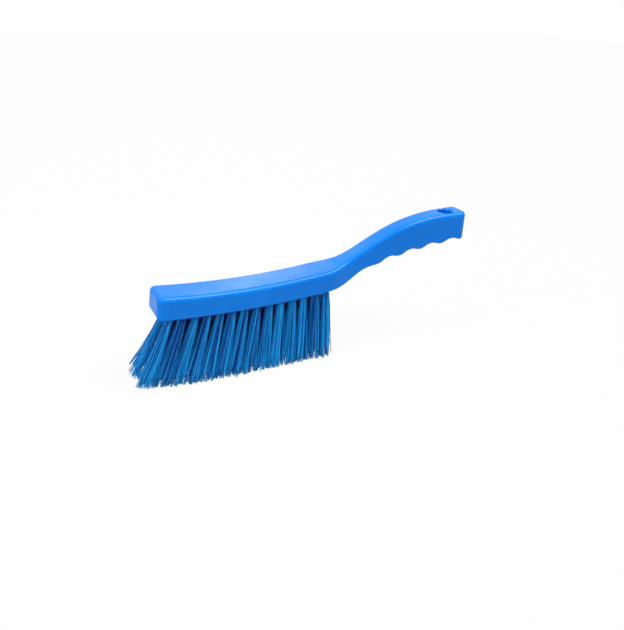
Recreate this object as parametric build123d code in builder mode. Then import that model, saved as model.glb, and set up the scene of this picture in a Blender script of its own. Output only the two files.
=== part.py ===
from build123d import *
import os
from math import atan, cos, degrees, radians, sin, sqrt, tan

# Hand broom: one moulded block with a curved handle, and four rows of stapled bristle tufts.
# Millimetres, +Z up. +X runs from the toe of the block to the end of the handle, and the
# origin lies on the floor, under the middle of the overall box. Lengths along the broom
# are measured back from the toe, and heights of the moulding up from the base line, the
# straight line under the ends of the sole.

# Moulded block
overall_length = 330.0
block_length = 171.0
block_width = 34.4
toe_rake = 2.4
toe_height = 22.0
waist_height = 17.4
heel_height = 21.9
sole_length = 162.0
sole_hollow = 3.2
toe_foot_run = 4.2
toe_corner_radius = 6.0
back_edge_radius = 4.2
under_edge_chamfer = 1.3
# Faces steeper than this belong to the sides, and the rest to the top or the underside
side_angle = 45.0

# Neck and handle
shoulder_length = 43.0
shoulder_lead = 8.0
neck_width = 19.8
grip_width = 26.0
grip_height = 63.0
end_foot_run = 5.5
end_corner_radius = 6.5
heel_run = 6.0
knuckle_height = 18.0
grip_start_height = 19.4
grip_mid_under_height = 30.1
grip_under_height = 35.2
end_under_height = 33.9
# Place of the knuckle between the heel and the end, and of the grip's middle from there on
knuckle_share = 0.3
grip_mid_share = 0.524
# How far the rounding of a foot stands back from its corner, as a share of the way to its chord
foot_round_share = 0.62

# Rise of the handle's back, as shares of the way from the heel to the handle's end
back_rise_shares = ((0.17, 0.205), (0.35, 0.545), (0.53, 0.815), (0.72, 0.96))
back_end_tangent_shares = (1.0, 0.02)
# Rise of the underside from the heel to the knuckle, as shares of that way
under_rise_shares = ((0.31, 0.195), (0.56, 0.575), (0.78, 0.875))

# Finger grooves under the handle: they wave about the grip line, counted from the end. Their
# pitch is a share of the grip, and their width and depth are shares of the pitch
groove_count = 4
last_groove_share = 0.1475
groove_pitch_share = 0.2316
groove_width_share = 0.548
groove_depth_share = 0.117

# Hole that the broom hangs from
hanging_radius = 7.75
hanging_rim = 1.6
hanging_from_end = 20.2

# Drilled tuft holes, each with six flat sides, as is the root packed into it
tuft_pitch = 12.0
first_tuft_from_toe = 11.4
row_tufts = 14
outer_row_inset = 5.0
inner_row_spacing = 8.4
hole_radius = 2.6
hole_sides = 6
hole_depth = 13.0
toe_lean_angle = -21.5
heel_lean_angle = 1.5
outer_row_splay_angle = 1.7
inner_row_splay_angle = 0.5

# Bristles
bristle_drop = 71.0
toe_sweep_from_toe = 71.0
toe_sweep_radius = 700.0
strand_radius = 0.65
strand_sides = 3
strand_count = 5
root_spread = 1.45
tip_spread = 4.0
root_recess = 1.0
root_grip = 4.0
root_clearance = 0.1

# Wire staples that hold the folded tufts
wire_size = 0.9
staple_span = 4.4
fold_height = 1.6
leg_bite = 2.0
wire_clearance = 0.05

overrun = 5.0


def sole_height(from_toe):
    """Height of the hollow sole over the base line; the sole is one wide arc."""
    half = sole_length / 2
    radius = (half**2 + sole_hollow**2) / (2 * sole_hollow)
    return radius - sole_hollow - sqrt(radius**2 - (from_toe - half) ** 2)


def along(start, end, shares):
    """Point that lies at the given shares of the way from start to end."""
    return (start[0] + (end[0] - start[0]) * shares[0], start[1] + (end[1] - start[1]) * shares[1])


# Tuft places: each row has its distance from the broom's middle and its splay, and every
# second row stands half a pitch further back and is a tuft shorter
outer_y = block_width / 2 - outer_row_inset
inner_y = inner_row_spacing / 2
rows = {
    "near_outer": (-outer_y, -outer_row_splay_angle, False),
    "near_inner": (-inner_y, -inner_row_splay_angle, True),
    "far_inner": (inner_y, inner_row_splay_angle, False),
    "far_outer": (outer_y, outer_row_splay_angle, True),
}
last_tuft_from_toe = first_tuft_from_toe + tuft_pitch * (row_tufts - 1)


def tuft_direction(from_toe, splay_angle):
    """Unit vector along a tuft, from its hole to its tips: tufts fan out towards the toe."""
    share = (from_toe - first_tuft_from_toe) / (last_tuft_from_toe - first_tuft_from_toe)
    lean_angle = toe_lean_angle + (heel_lean_angle - toe_lean_angle) * share
    return Vector(tan(radians(lean_angle)), tan(radians(splay_angle)), -1).normalized()


def trim_height(from_toe):
    """Height of the trimmed tips over the floor: flat, then swept up in an arc to the toe."""
    past = max(0, toe_sweep_from_toe - from_toe)
    return toe_sweep_radius - sqrt(toe_sweep_radius**2 - past**2)


def strand_ends(mouth, direction):
    """Root and tip of each strand of a tuft, one in the middle and the rest in a ring."""
    root = mouth - direction * root_grip
    floor = mouth + direction * (mouth.Z / -direction.Z)
    ends = []
    for number in range(strand_count + 1):
        turn = radians(180 + 360 / strand_count * number)
        outward = Vector(cos(turn), sin(turn), 0) if number < strand_count else Vector(0, 0, 0)
        start = root + outward * root_spread
        target = floor + outward * tip_spread
        share = 1 - trim_height(target.X) / start.Z
        ends.append((start, start + (target - start) * share))
    return ends


def tuft_mouth(from_toe, y):
    """Middle of a tuft's hole where it opens in the sole, with the toe at zero."""
    return Vector(from_toe, y, bristle_drop + sole_height(from_toe))


# The foremost strand and the handle's end bound the broom, and the origin lies midway
foremost_tips = strand_ends(
    tuft_mouth(first_tuft_from_toe, -outer_y),
    tuft_direction(first_tuft_from_toe, -outer_row_splay_angle),
)
front_reach = min(tip.X for root, tip in foremost_tips) - strand_radius
toe_x = -(front_reach + overall_length) / 2
toe = Vector(toe_x, 0, 0)
side_cut = block_width / 2 + overrun
side_plane = Plane(origin=(toe_x, side_cut, bristle_drop), x_dir=(1, 0, 0), z_dir=(0, -1, 0))

tufts = {}
for row, (row_y, row_splay, staggered) in rows.items():
    for place in range(row_tufts - staggered):
        from_toe = first_tuft_from_toe + tuft_pitch * (place + staggered / 2)
        tufts[f"tuft_{row}_{place + 1:02d}"] = (
            tuft_mouth(from_toe, row_y),
            tuft_direction(from_toe, row_splay),
        )


def hole_plane(mouth, direction):
    """Plane on the floor of a tuft's hole, facing out of it, with local X along the broom."""
    across = Vector(0, 1, 0).cross(direction)
    return Plane(origin=toe + mouth - direction * hole_depth, x_dir=across, z_dir=direction)


def staple_plane(hole):
    """Plane through a hole's axis, in which its staple lies, with local Y out of the hole."""
    return Plane(origin=hole.origin, x_dir=hole.x_dir, z_dir=hole.x_dir.cross(hole.z_dir))


# Block and handle: the side outline and the plan outline cut one solid between them
plan_drop = sole_hollow + overrun
neck_half = neck_width / 2
grip_half = grip_width / 2
block_half = block_width / 2
shoulder_from_toe = block_length - shoulder_lead
neck_from_toe = shoulder_from_toe + shoulder_length
shoulder_turn = ((shoulder_from_toe + neck_from_toe) / 2, -(block_half + neck_half) / 2)
plan_plane = Plane(origin=(toe_x, 0, bristle_drop - plan_drop))

heel_from_toe = block_length + heel_run
heel_under = (heel_from_toe, sole_height(heel_from_toe))
knuckle_from_toe = heel_from_toe + (overall_length - heel_from_toe) * knuckle_share
grip_run = overall_length - knuckle_from_toe
groove_pitch = grip_run * groove_pitch_share
groove_width = groove_pitch * groove_width_share
groove_depth = groove_pitch * groove_depth_share
last_groove_from_end = grip_run * last_groove_share
knuckle = (knuckle_from_toe, knuckle_height)
past_end = overall_length + overrun
heel_back = (block_length, heel_height)
end_back = (overall_length, grip_height)
end_under = (overall_length, end_under_height)
grip_start = (knuckle_from_toe, grip_start_height)
grip_middle = (knuckle_from_toe + grip_run * grip_mid_share, grip_mid_under_height)
grip_end = (overall_length, grip_under_height)


def rim(faces):
    """Outer edges of a band of faces that runs from the toe to the handle's end."""
    across = faces.edges().filter_by(Axis.Y).sort_by(Axis.X)
    return faces.edges().filter_by(Axis.Y, reverse=True) + [across[0], across[-1]]


with BuildPart() as brush_body:
    with BuildSketch(side_plane):
        with BuildLine():
            waist = ((toe_rake + block_length) / 2, waist_height)
            back = ThreePointArc((toe_rake, toe_height), waist, heel_back)
            back_rise = [along(heel_back, end_back, shares) for shares in back_rise_shares]
            back_tangents = (back % 1, back_end_tangent_shares)
            Spline(heel_back, *back_rise, end_back, tangents=back_tangents)
            sole = ThreePointArc((0, 0), (sole_length / 2, -sole_hollow), heel_under)
            grip = ThreePointArc(grip_start, grip_middle, grip_end, mode=Mode.PRIVATE)
            flanks = []
            for number in reversed(range(groove_count)):
                groove_from_end = last_groove_from_end + groove_pitch * number
                for half_width in (groove_width / 2, -groove_width / 2):
                    flanks.append(1 - (groove_from_end + half_width) / grip.length)
            flank_angle = degrees(2 * atan(2 * groove_depth / groove_pitch))
            flank_tangent = (grip % flanks[0]).rotate(Axis.Z, flank_angle)
            under_rise = [along(heel_under, knuckle, shares) for shares in under_rise_shares]
            under_tangents = (sole % 1, flank_tangent)
            Spline(heel_under, *under_rise, knuckle, grip @ flanks[0], tangents=under_tangents)
            for start, end in zip(flanks, flanks[1:]):
                wave = TangentArc(grip @ start, grip @ end, tangent=flank_tangent)
                flank_tangent = wave % 1
            lobe = TangentArc(grip @ flanks[-1], end_under, tangent=flank_tangent)
            toe_line = Line((0, 0), (toe_rake, toe_height))
            end_line = Line(end_under, end_back)
        make_face()
    extrude(amount=2 * side_cut)
    with BuildSketch(plan_plane):
        with BuildLine():
            Line((-overrun, 0), (-overrun, -block_half))
            Line((-overrun, -block_half), (shoulder_from_toe, -block_half))
            TangentArc((shoulder_from_toe, -block_half), shoulder_turn, tangent=(1, 0))
            TangentArc((neck_from_toe, -neck_half), shoulder_turn, tangent=(-1, 0))
            TangentArc((neck_from_toe, -neck_half), (past_end, -grip_half), tangent=(1, 0))
            Line((past_end, -grip_half), (past_end, 0))
            mirror(about=Plane.XZ)
        make_face()
    extrude(amount=plan_drop + grip_height + overrun, mode=Mode.INTERSECT)
    toe_face = faces().sort_by(Axis.X)[0]
    fillet(toe_face.edges().filter_by(Axis.Y, reverse=True), toe_corner_radius)
    end_face = faces().sort_by(Axis.X)[-1]
    fillet(end_face.edges().filter_by(Axis.Y, reverse=True), end_corner_radius)
    side_rise = sin(radians(side_angle))
    fillet(rim(faces().filter_by(lambda face: face.normal_at().Z > side_rise)), back_edge_radius)
    chamfer(rim(faces().filter_by(lambda face: face.normal_at().Z < -side_rise)), under_edge_chamfer)

    # Rounded feet of the toe and of the handle's end
    toe_wall = toe_line @ (toe_foot_run / toe_line.length)
    toe_under = sole @ (toe_foot_run / sole.length)
    end_wall = end_line @ (end_foot_run / end_line.length)
    end_lobe = lobe @ (1 - end_foot_run / lobe.length)
    with BuildSketch(side_plane):
        for wall, under, corner, outside in (
            (toe_wall, toe_under, (0, 0), -overrun),
            (end_wall, end_lobe, end_under, past_end),
        ):
            with BuildLine():
                middle = (wall + under) / 2
                past_foot = under.Y - overrun
                beside = [(outside, wall.Y), (outside, past_foot), (under.X, past_foot)]
                Polyline(wall, *beside, under)
                round_shares = (foot_round_share, foot_round_share)
                ThreePointArc(under, along(corner, (middle.X, middle.Y), round_shares), wall)
            make_face()
    extrude(amount=2 * side_cut, mode=Mode.SUBTRACT)

    # Blind hole for each tuft, leaning with it, with two sockets where its staple bites
    drills = []
    for hole in [hole_plane(*tuft) for tuft in tufts.values()]:
        with BuildSketch(hole, mode=Mode.PRIVATE) as bore:
            RegularPolygon(hole_radius, hole_sides)
        with BuildSketch(hole.offset(-leg_bite - wire_clearance), mode=Mode.PRIVATE) as sockets:
            with GridLocations(staple_span - wire_size, 0, 2, 1):
                Rectangle(wire_size + 2 * wire_clearance, wire_size + 2 * wire_clearance)
        drills.append(extrude(bore.sketch, amount=hole_depth + overrun, mode=Mode.PRIVATE))
        drills.append(extrude(sockets.sketch, amount=leg_bite + fold_height, mode=Mode.PRIVATE))
    add(drills, mode=Mode.SUBTRACT)

    # Hole through the end of the handle, for hanging the broom on a hook
    hanging_plane = Plane(origin=(toe_x + overall_length - hanging_from_end, 0, bristle_drop))
    with BuildSketch(hanging_plane):
        Circle(hanging_radius)
    extrude(amount=grip_height + overrun, mode=Mode.SUBTRACT)
    with Locations(hanging_plane.offset(grip_height - hanging_rim)):
        rim_radii = (hanging_radius - hanging_rim, hanging_radius + hanging_rim)
        Cone(*rim_radii, 2 * hanging_rim, mode=Mode.SUBTRACT)
brush_body.part.label = "brush_body"


def make_tuft(mouth, direction):
    """Bundle of bristles folded into its hole round a staple, with its strands fanned out."""
    hole = hole_plane(mouth, direction)
    section = RegularPolygon(strand_radius, strand_sides, rotation=180)
    strands = []
    for root, tip in strand_ends(mouth, direction):
        run = tip - root
        strands.append(extrude(Pos(toe + root) * section, amount=run.length, dir=run))
    with BuildPart() as tuft:
        with BuildSketch(hole):
            RegularPolygon(hole_radius - root_clearance, hole_sides)
        extrude(amount=hole_depth - root_recess)
        with BuildSketch(staple_plane(hole)):
            bridge_top = fold_height + wire_size + wire_clearance
            with Locations((0, bridge_top / 2)):
                Rectangle(2 * hole_radius, bridge_top)
            fold_span = staple_span - 2 * wire_size - 2 * wire_clearance
            with Locations((0, (fold_height - wire_clearance) / 2)):
                Rectangle(fold_span, fold_height - wire_clearance, mode=Mode.SUBTRACT)
        extrude(amount=wire_size / 2 + wire_clearance, both=True, mode=Mode.SUBTRACT)
        add(strands)
    return tuft


def make_staple(mouth, direction):
    """Square wire bent square: its bridge lies in the fold and its legs bite into the block."""
    with BuildPart() as staple:
        with BuildSketch(staple_plane(hole_plane(mouth, direction))):
            leg_length = leg_bite + fold_height + wire_size
            with Locations((0, leg_length / 2 - leg_bite)):
                Rectangle(staple_span, leg_length)
            with Locations((0, (fold_height - leg_bite) / 2)):
                Rectangle(staple_span - 2 * wire_size, leg_bite + fold_height, mode=Mode.SUBTRACT)
        extrude(amount=wire_size / 2, both=True)
    return staple.part


os.makedirs("parts", exist_ok=True)
export_step(brush_body.part, "parts/brush_body.step")
for name, placed in tufts.items():
    tuft = make_tuft(*placed)
    tuft.part.label = name
    export_step(tuft.part, f"parts/{name}.step")

staples = Compound(children=[make_staple(*placed) for placed in tufts.values()])
staples.label = "staples"
export_step(staples, "parts/staples.step")
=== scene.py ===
import random
from math import cos, exp, pi, radians, sin, sqrt, tan

import bpy
from mathutils import Matrix, Vector
from mathutils.bvhtree import BVHTree


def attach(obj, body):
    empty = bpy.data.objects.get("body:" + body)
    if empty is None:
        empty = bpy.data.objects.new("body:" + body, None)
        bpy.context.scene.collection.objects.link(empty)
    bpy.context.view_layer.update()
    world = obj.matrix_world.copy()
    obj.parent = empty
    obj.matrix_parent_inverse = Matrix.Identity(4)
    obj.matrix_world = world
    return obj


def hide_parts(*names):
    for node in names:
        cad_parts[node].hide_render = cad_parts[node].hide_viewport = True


# Hand broom: the moulded block with its curved handle, four rows of stapled bristle tufts,
# their wire staples, and the studio round them. Metres, +Z up, +X from the toe of the block
# to the end of the handle.

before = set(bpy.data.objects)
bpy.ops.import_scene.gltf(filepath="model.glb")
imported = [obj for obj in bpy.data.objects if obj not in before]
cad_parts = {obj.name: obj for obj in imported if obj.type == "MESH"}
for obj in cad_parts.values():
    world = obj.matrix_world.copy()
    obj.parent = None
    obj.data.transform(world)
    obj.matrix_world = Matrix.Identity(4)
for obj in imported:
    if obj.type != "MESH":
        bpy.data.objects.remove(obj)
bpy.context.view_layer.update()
mm = 0.001
golden_angle = pi * (3 - sqrt(5))

# Camera, at the angle from which the broom was photographed
camera_azimuth = radians(-27.6)
camera_elevation = radians(26.3)
camera_roll = radians(2.5)
camera_distance = 0.693
camera_target = Vector((0.004165, 0, 0.041))
sensor_size = 36.0
lens_length = 39.43

# Studio light, where a level of 1 shows a white surface as white
sky_level = 0.08
backdrop_level = 1.0
key_place = Vector((-0.26, -0.05, 1.3))
key_width = 0.09
key_height = 0.46
key_level = 0.34
left_way = Vector((-1, -0.25, 0.35))
left_angle = radians(40)
left_level = 0.56
main_way = Vector((0.416, -0.3, 0.86))
main_angle = radians(26)
main_level = 0.97
window_place = Vector((0.425, 1.2, 0.68))
window_width = 0.17
window_height = 0.16
window_level = 0.02
strip_place = Vector((0.02, 1.2, 0.95))
strip_width = 0.34
strip_height = 0.2
strip_level = 0.025
light_target = Vector((0, 0, 0.08))
floor_size = 8.0
floor_colour = (0.55, 0.55, 0.55, 1)
floor_show_share = 0.95

# Range that most values of a noise lie in
noise_range = (0.3, 0.7)

# Plastic of the block and the handle: clouds where it flowed, orange peel, scuffs along it
plastic_deep = (0.001, 0.183, 0.74, 1)
plastic_pale = (0.002, 0.213, 0.80, 1)
plastic_specular = 0.135
plastic_roughness = (0.2, 0.29)
flow_scale = 14.0
flow_detail = 3.0
haze_scale = 35.0
peel_scale = 1100.0
peel_strength = 0.12
peel_depth = 0.05 * mm
scuff_scale = 260.0
scuff_detail = 4.0
scuff_stretch = (0.12, 1.0, 1.0)
scuff_range = (0.62, 0.74)
scuff_roughness = 0.08
scuff_strength = 0.1
scuff_depth = 0.03 * mm

# Bristle fibre, with a fine grain along it
fibre_deep = (0.002, 0.085, 0.46, 1)
fibre_pale = (0.014, 0.45, 1.0, 1)
fibre_specular = 0.2
fibre_roughness = (0.3, 0.42)
grain_scale = 3000.0
grain_stretch = (1.0, 1.0, 0.1)
grain_strength = 0.2
grain_depth = 0.02 * mm

# Steel of the staples, with drawing streaks along their bridges
steel_dull = (0.42, 0.43, 0.45, 1)
steel_bright = (0.62, 0.63, 0.65, 1)
steel_roughness = (0.28, 0.42)
streak_scale = 2500.0
streak_detail = 3.0
streak_stretch = (0.2, 1.0, 1.0)
streak_strength = 0.2
streak_depth = 0.02 * mm

# Toe and sole of the block, as the moulding has them
toe_x = -155.835433 * mm
sole_length = 162 * mm
sole_hollow = 3.2 * mm
bristle_drop = 71 * mm

# Tuft rows: distance from the middle, splay, whether a row is set half a pitch back, how far
# its first tuft flares out past the toe and sideways, and whether other rows surround it, which
# gives its tufts between the ends painted shade
tuft_pitch = 12 * mm
first_tuft_from_toe = 11.4 * mm
row_tufts = 14
toe_lean = radians(-21.5)
heel_lean = radians(1.5)
rows = {
    "near_outer": (-12.2 * mm, radians(-1.7), False, (-5 * mm, 0), False),
    "near_inner": (-4.2 * mm, radians(-0.5), True, (-12 * mm, 0), True),
    "far_inner": (4.2 * mm, radians(0.5), False, (-13 * mm, 3 * mm), True),
    "far_outer": (12.2 * mm, radians(1.7), True, (-18 * mm, 7 * mm), False),
}

# Trim line of the tips: flat, then swept up in an arc to the toe
toe_sweep_from_toe = 71 * mm
toe_sweep_radius = 700 * mm

# Filaments of a tuft
seed = 41
filament_count = 105
filament_radius = 0.29 * mm
filament_sides = 3
filament_runs = 7
root_depth = 7 * mm
root_radius = 2.3 * mm

# Spread of a tuft: swollen at the mouth of its hole, then flared to an oval of tips, which the
# last tuft of a row keeps only in part on the handle's side
mouth_bulge = 0.72
mouth_bulge_run = 0.04
tip_radii = Vector((9.0 * mm, 4.7 * mm))
flare_power = 1.15
tip_bend = 1.1 * mm
tip_unevenness = 0.5 * mm
heel_squeeze = 0.45

# Locks that the filaments of a tuft gather in
lock_count = 9
lock_reach = 0.95
lock_pull = 0.75
least_pull = 0.4
lock_unevenness = 1.1 * mm
lock_rise_power = 2

# Tint of the filaments, from 0 deep to 1 pale: lowest, highest and most usual; then how much
# a lock and the tips shift it, where the paler tips are partly frayed fibre and partly painted
# light; and a tuft's place, as painted light on outer tufts and painted shade on inner tufts
tint_range = (-0.5, 1.3, 0.25)
lock_shade = 0.55
# Paler towards the tips: partly frayed fibre, partly painted light shining through the tips
tip_fray_and_painted_light = 0.55
tip_paling_power = 2
# Painted light on tufts at the rim of the brush, painted shade on tufts that other rows surround
outer_painted_light = 0.2
inner_painted_shade = -0.55

# Flare of the first tufts past the toe, and single strays
toe_flare_tufts = 3
flare_lift = 0.4
bend_power = 1.4
stray_share = 0.012
stray_bend = 4.5 * mm
end_stray_count = 3
end_stray_bend = 7 * mm
least_end_stray = 0.5

# Line where the halves of the mould meet along the handle's sides: distance from the toe, height
parting_points = ((0.2096, 0.0972), (0.25, 0.1079), (0.285, 0.1149), (0.3242, 0.1196))
parting_runs = 60
parting_half_width = 0.3 * mm
parting_proud = 0.07 * mm
parting_bury = 0.1 * mm


def node(tree, kind, inputs=(), **settings):
    """Add a shader node; each input is a socket's name or number with a value or a source."""
    made = tree.nodes.new(kind)
    for name, value in settings.items():
        setattr(made, name, value)
    for name, value in inputs:
        if isinstance(value, bpy.types.NodeSocket):
            tree.links.new(value, made.inputs[name])
        else:
            made.inputs[name].default_value = value
    return made


def new_material(name, inputs=()):
    """Material with its tree and its shader."""
    material = bpy.data.materials.new(name)
    material.use_nodes = True
    tree = material.node_tree
    shader = tree.nodes["Principled BSDF"]
    for socket, value in inputs:
        shader.inputs[socket].default_value = value
    return material, tree, shader


def object_place(tree):
    """Coordinates in the object's own space."""
    return node(tree, "ShaderNodeTexCoord").outputs["Object"]


def noise(tree, place, scale, detail=2.0):
    """Noise in the object's own space, from 0 to 1."""
    inputs = (("Vector", place), ("Scale", scale), ("Detail", detail))
    return node(tree, "ShaderNodeTexNoise", inputs).outputs["Fac"]


def blend_colours(tree, factor, low, high):
    """Colour that goes from low to high with the factor."""
    inputs = ((0, factor), (6, low), (7, high))
    return node(tree, "ShaderNodeMix", inputs, data_type="RGBA").outputs[2]


def spread(tree, value, source, target=(0.0, 1.0)):
    """Value carried over from the source range to the target range."""
    inputs = ((0, value), (1, source[0]), (2, source[1]), (3, target[0]), (4, target[1]))
    return node(tree, "ShaderNodeMapRange", inputs).outputs[0]


def bump(tree, height, strength, distance, under=None):
    """Surface relief from a height, laid over another relief if one is given."""
    inputs = [("Height", height), ("Strength", strength), ("Distance", distance)]
    if under:
        inputs.append(("Normal", under))
    return node(tree, "ShaderNodeBump", inputs).outputs[0]


def stretched(tree, place, scales):
    """Coordinates scaled apart along each axis."""
    inputs = (("Vector", place), ("Scale", scales))
    return node(tree, "ShaderNodeMapping", inputs).outputs[0]


def calculated(tree, operation, *values):
    """Result of one sum or comparison."""
    made = node(tree, "ShaderNodeMath", enumerate(values), operation=operation)
    return made.outputs[0]


def make_plastic():
    """Glossy moulded plastic: cloudy colour, fine orange peel and a few shallow scuffs."""
    inputs = (("Specular IOR Level", plastic_specular),)
    material, tree, shader = new_material("brush_plastic", inputs)
    place = object_place(tree)
    cloud = spread(tree, noise(tree, place, flow_scale, flow_detail), noise_range)
    colour = blend_colours(tree, cloud, plastic_deep, plastic_pale)
    tree.links.new(colour, shader.inputs["Base Color"])
    scuff_place = stretched(tree, place, scuff_stretch)
    scuff = spread(tree, noise(tree, scuff_place, scuff_scale, scuff_detail), scuff_range)
    haze = spread(tree, noise(tree, place, haze_scale), noise_range, plastic_roughness)
    roughness = calculated(tree, "MULTIPLY_ADD", scuff, scuff_roughness, haze)
    tree.links.new(roughness, shader.inputs["Roughness"])
    peel = bump(tree, noise(tree, place, peel_scale), peel_strength, peel_depth)
    relief = bump(tree, scuff, scuff_strength, scuff_depth, peel)
    tree.links.new(relief, shader.inputs["Normal"])
    return material


def make_fibre():
    """Extruded bristle fibre: each filament has its own tint, with painted shade on inner tufts
    and painted light on outer tufts and at the tips, and its surface is finely ribbed.
    """
    inputs = (("Specular IOR Level", fibre_specular),)
    material, tree, shader = new_material("bristle_fibre", inputs)
    tint = node(tree, "ShaderNodeAttribute", attribute_name="tint").outputs["Fac"]
    colour = blend_colours(tree, tint, fibre_deep, fibre_pale)
    tree.links.new(colour, shader.inputs["Base Color"])
    grain = noise(tree, stretched(tree, object_place(tree), grain_stretch), grain_scale)
    tree.links.new(spread(tree, grain, noise_range, fibre_roughness), shader.inputs["Roughness"])
    tree.links.new(bump(tree, grain, grain_strength, grain_depth), shader.inputs["Normal"])
    return material


def make_steel():
    """Drawn steel wire: bright, with dull streaks along it."""
    material, tree, shader = new_material("staple_wire", (("Metallic", 1.0),))
    streak_place = stretched(tree, object_place(tree), streak_stretch)
    streak = noise(tree, streak_place, streak_scale, streak_detail)
    colour = blend_colours(tree, streak, steel_dull, steel_bright)
    tree.links.new(colour, shader.inputs["Base Color"])
    tree.links.new(spread(tree, streak, noise_range, steel_roughness), shader.inputs["Roughness"])
    tree.links.new(bump(tree, streak, streak_strength, streak_depth), shader.inputs["Normal"])
    return material


def add_piece(name, points, faces, material, smooth=True):
    """Mesh object in the scene."""
    mesh = bpy.data.meshes.new(name)
    mesh.from_pydata(points, [], faces)
    mesh.materials.append(material)
    if smooth:
        mesh.shade_smooth()
    piece = bpy.data.objects.new(name, mesh)
    bpy.context.scene.collection.objects.link(piece)
    return piece


def sole_height(from_toe):
    """Height of the hollow sole over the base line; the sole is one wide arc."""
    half = sole_length / 2
    radius = (half**2 + sole_hollow**2) / (2 * sole_hollow)
    return radius - sole_hollow - sqrt(radius**2 - (from_toe - half) ** 2)


def trim_height(from_toe):
    """Height of the trimmed tips over the floor."""
    past = max(0, toe_sweep_from_toe - from_toe)
    return toe_sweep_radius - sqrt(toe_sweep_radius**2 - past**2)


def tuft_direction(from_toe, splay):
    """Unit vector along a tuft, from its hole to its tips: tufts fan out towards the toe."""
    share = (from_toe - first_tuft_from_toe) / (tuft_pitch * (row_tufts - 1))
    lean = toe_lean + (heel_lean - toe_lean) * share
    return Vector((tan(lean), tan(splay), -1)).normalized()


def disc_point(rng, radius):
    """Random point of a disc, spread evenly over it."""
    turn = rng.uniform(0, 2 * pi)
    reach = radius * sqrt(rng.random())
    return Vector((reach * cos(turn), reach * sin(turn)))


def spiral_point(place, count, phase, radius):
    """Point of a disc that a spiral fills evenly, as a flower sets its seeds."""
    turn = phase + place * golden_angle
    reach = radius * sqrt((place + 0.5) / count)
    return Vector((reach * cos(turn), reach * sin(turn)))


def filament_line(rng, mouth, direction, root, lock, bend, squeeze):
    """Points along one filament, from inside its hole to its trimmed tip."""
    start = mouth - direction * root_depth
    floor = mouth + direction * (mouth.z / -direction.z)
    pull = lock_pull * rng.uniform(least_pull, 1)
    tip = tip_radii * (root / root_radius).lerp(lock["place"], pull)
    tip += disc_point(rng, tip_bend)
    tip.x = min(tip.x, tip.x * squeeze)
    bow = disc_point(rng, tip_bend)
    tip_from_toe = floor.x + tip.x + bend.x - toe_x
    tip_height = trim_height(tip_from_toe) + rng.random() * tip_unevenness
    tip_height += lock["rise"] + bend.length * flare_lift
    last_share = 1 - tip_height / start.z
    mouth_share = root_depth / (floor - start).length
    line = []
    for step in range(filament_runs + 1):
        share = last_share * step / filament_runs
        out = max(0, share - mouth_share) / (1 - mouth_share)
        bulged = root * (1 + mouth_bulge * (1 - exp(-out / mouth_bulge_run)))
        offset = bulged.lerp(tip, out**flare_power) + bow * sin(pi * out)
        line.append(start.lerp(floor, share) + offset.to_3d() + bend * out**bend_power)
    return line


def make_bristles(name, mouth, direction, flare, stray, squeeze, painted_shading, material):
    """One tuft of filaments, packed in its hole and flared into locks at its tips."""
    rng = random.Random(f"{seed} {name}")
    phase = rng.uniform(0, 2 * pi)
    locks = [
        {
            "place": spiral_point(number, lock_count, phase, lock_reach),
            "tint": rng.uniform(-lock_shade, lock_shade),
            "rise": rng.random() ** lock_rise_power * lock_unevenness,
        }
        for number in range(lock_count)
    ]
    points = []
    faces = []
    tints = []
    for number in range(filament_count):
        bend = flare * rng.random()
        if number < end_stray_count:
            bend += stray * rng.uniform(least_end_stray, 1)
        if rng.random() < stray_share:
            bend.xy += disc_point(rng, stray_bend)
        root = disc_point(rng, root_radius)
        lock = min(locks, key=lambda other: (other["place"] - root / root_radius).length)
        line = filament_line(rng, mouth, direction, root, lock, bend, squeeze)
        # The tuft's place adds painted light at the rim of the brush and painted shade inside it
        tint = rng.triangular(*tint_range) + lock["tint"] + painted_shading
        turn = rng.uniform(0, 2 * pi)
        first = len(points)
        for step, point in enumerate(line):
            # Paler towards the tip: partly frayed fibre, partly painted light shining through it
            paled = tint + tip_fray_and_painted_light * (step / filament_runs) ** tip_paling_power
            for side in range(filament_sides):
                angle = turn + 2 * pi * side / filament_sides
                points.append(point + Vector((cos(angle), sin(angle), 0)) * filament_radius)
                tints.append(min(1, max(0, paled)))
        for run in range(filament_runs):
            for side in range(filament_sides):
                low = first + run * filament_sides
                after = (side + 1) % filament_sides
                high = low + filament_sides
                faces.append((low + after, low + side, high + side, high + after))
        last = first + filament_runs * filament_sides
        faces.append(tuple(first + side for side in range(filament_sides)))
        faces.append(tuple(last + side for side in reversed(range(filament_sides))))
    piece = add_piece(name, points, faces, material)
    layer = piece.data.attributes.new("tint", "FLOAT", "POINT")
    layer.data.foreach_set("value", tints)
    return piece


def parting_height(from_toe):
    """Height of the parting line, on one smooth curve through its points."""
    height = 0
    for place, value in parting_points:
        weight = value
        for other, other_value in parting_points:
            if other != place:
                weight *= (from_toe - other) / (place - other)
        height += weight
    return height


def make_parting_line(name, side, surface, material):
    """Fine ridge along one side of the handle, seated in its wall."""
    points = []
    faces = []
    start = parting_points[0][0]
    length = parting_points[-1][0] - start
    for step in range(parting_runs + 1):
        from_toe = start + length * step / parting_runs
        outside = Vector((toe_x + from_toe, side, parting_height(from_toe)))
        place, normal = surface.ray_cast(outside, Vector((0, -side, 0)))[:2]
        for lift, rise in ((-parting_bury, 1), (parting_proud, 0), (-parting_bury, -1)):
            points.append(place + normal * lift + Vector((0, 0, rise * parting_half_width)))
    for step in range(parting_runs):
        for corner in range(3):
            low = 3 * step + corner
            after = 3 * step + (corner + 1) % 3
            face = (low, low + 3, after + 3, after)
            faces.append(face if side > 0 else face[::-1])
    caps = ((0, 1, 2), tuple(3 * parting_runs + corner for corner in (2, 1, 0)))
    faces.extend(cap if side > 0 else cap[::-1] for cap in caps)
    return add_piece(name, points, faces, material)


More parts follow.
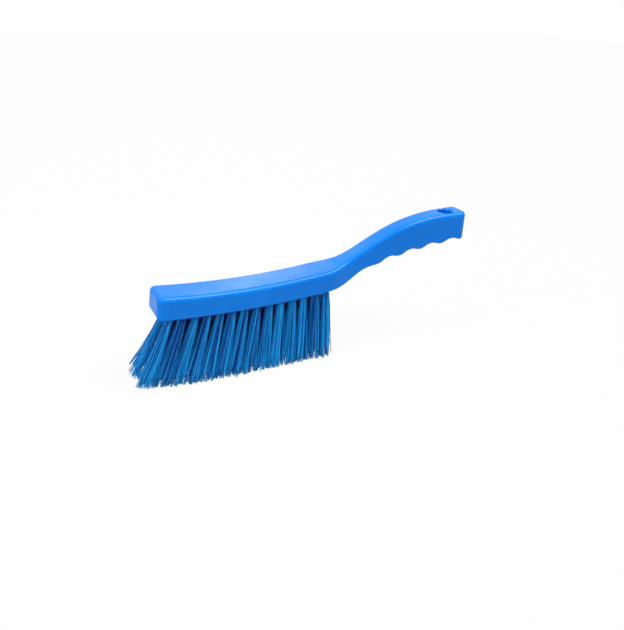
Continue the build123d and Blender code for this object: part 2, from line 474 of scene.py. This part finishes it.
def add_lamp(name, data, place, way):
    """Lamp that shines along a way, and isn't seen itself."""
    lamp = bpy.data.objects.new(name, data)
    lamp.location = place
    lamp.rotation_euler = way.to_track_quat("-Z", "Y").to_euler()
    lamp.visible_camera = False
    bpy.context.scene.collection.objects.link(lamp)


def add_soft_sun(name, way, angle, level):
    """Soft light from one side, which shows a white surface that faces it at the given level."""
    data = bpy.data.lights.new(name, "SUN")
    data.angle = angle
    data.energy = level * pi
    add_lamp(name, data, way, -way)


def add_softbox(name, place, width, height, level):
    """Rectangular light that shows a white surface at the given level."""
    data = bpy.data.lights.new(name, "AREA")
    data.shape = "RECTANGLE"
    data.size = width
    data.size_y = height
    way = light_target - place
    data.energy = level * pi**2 * way.length_squared
    add_lamp(name, data, place, way)


def seen_share(tree, share):
    """Share of white that camera, glossy and transmission rays get, and no other ray."""
    path = node(tree, "ShaderNodeLightPath").outputs
    passed = calculated(tree, "MAXIMUM", path["Is Glossy Ray"], path["Is Transmission Ray"])
    seen = calculated(tree, "MAXIMUM", path["Is Camera Ray"], passed)
    return calculated(tree, "MULTIPLY", seen, share)


def make_world():
    """Plain white surroundings, softer as a light than they look."""
    world = bpy.data.worlds.new("studio")
    world.use_nodes = True
    tree = world.node_tree
    strength = calculated(tree, "ADD", seen_share(tree, backdrop_level - sky_level), sky_level)
    background = tree.nodes["Background"]
    background.inputs["Color"].default_value = (1, 1, 1, 1)
    tree.links.new(strength, background.inputs["Strength"])
    bpy.context.scene.world = world


def make_floor():
    """Pale floor that keeps the broom's shadow."""
    material, tree, shader = new_material("floor")
    matt = node(tree, "ShaderNodeBsdfDiffuse", (("Color", floor_colour),)).outputs[0]
    white = node(tree, "ShaderNodeEmission", (("Strength", 1.0),)).outputs[0]
    factor = seen_share(tree, floor_show_share)
    mixed = node(tree, "ShaderNodeMixShader", ((0, factor), (1, matt), (2, white))).outputs[0]
    tree.links.new(mixed, tree.nodes["Material Output"].inputs["Surface"])
    tree.nodes.remove(shader)
    half = floor_size / 2
    corners = [(-half, -half, 0), (half, -half, 0), (half, half, 0), (-half, half, 0)]
    return add_piece("floor", corners, [(0, 1, 2, 3)], material, smooth=False)


# Camera
back = Vector((sin(camera_azimuth), -cos(camera_azimuth), tan(camera_elevation))).normalized()
level_right = Vector((cos(camera_azimuth), sin(camera_azimuth), 0))
level_up = back.cross(level_right)
right = level_right * cos(camera_roll) + level_up * sin(camera_roll)
up = level_up * cos(camera_roll) - level_right * sin(camera_roll)
camera_data = bpy.data.cameras.new("camera")
camera_data.sensor_width = sensor_size
camera_data.lens = lens_length
camera = bpy.data.objects.new("camera", camera_data)
turned = Matrix((right, up, back)).transposed().to_4x4()
camera.matrix_world = Matrix.Translation(camera_target + back * camera_distance) @ turned
bpy.context.scene.collection.objects.link(camera)
bpy.context.scene.camera = camera
bpy.context.scene.view_settings.view_transform = "Standard"

# Light and floor
make_world()
make_floor()
add_softbox("key", key_place, key_width, key_height, key_level)
add_soft_sun("left", left_way, left_angle, left_level)
add_soft_sun("main", main_way, main_angle, main_level)
add_softbox("window", window_place, window_width, window_height, window_level)
add_softbox("strip", strip_place, strip_width, strip_height, strip_level)

# Materials of the nodes that stay
plastic = make_plastic()
fibre = make_fibre()
steel = make_steel()
for name, material in (("brush_body", plastic), ("staples", steel)):
    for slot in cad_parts[name].material_slots:
        slot.material = material

# Parting line of the mould on both sides of the handle
body_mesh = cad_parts["brush_body"].data
body_surface = BVHTree.FromPolygons(
    [vertex.co for vertex in body_mesh.vertices],
    [polygon.vertices for polygon in body_mesh.polygons],
)
for name, side in (("parting_line_near", -1), ("parting_line_far", 1)):
    line = make_parting_line(name, side, body_surface, plastic)
    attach(line, "root")

# Bristles, one piece for each tuft
for row, (row_y, splay, staggered, row_flare, surrounded) in rows.items():
    row_count = row_tufts - staggered
    for place in range(row_count):
        from_toe = first_tuft_from_toe + tuft_pitch * (place + staggered / 2)
        mouth = Vector((toe_x + from_toe, row_y, bristle_drop + sole_height(from_toe)))
        direction = tuft_direction(from_toe, splay)
        flare = Vector((*row_flare, 0)) * max(0, 1 - place / toe_flare_tufts)
        at_toe = place == 0
        at_heel = place == row_count - 1
        stray = Vector(((at_heel - at_toe) * end_stray_bend, 0, 0))
        squeeze = heel_squeeze if at_heel else 1
        # Tufts inside the brush get painted shade, the rest get painted light
        in_painted_shade = surrounded and not at_toe and not at_heel
        painted_shading = inner_painted_shade if in_painted_shade else outer_painted_light
        number = f"{row}_{place + 1:02d}"
        name = f"bristles_{number}"
        bristles = make_bristles(name, mouth, direction, flare, stray, squeeze, painted_shading, fibre)
        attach(bristles, "root")
        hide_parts(f"tuft_{number}")
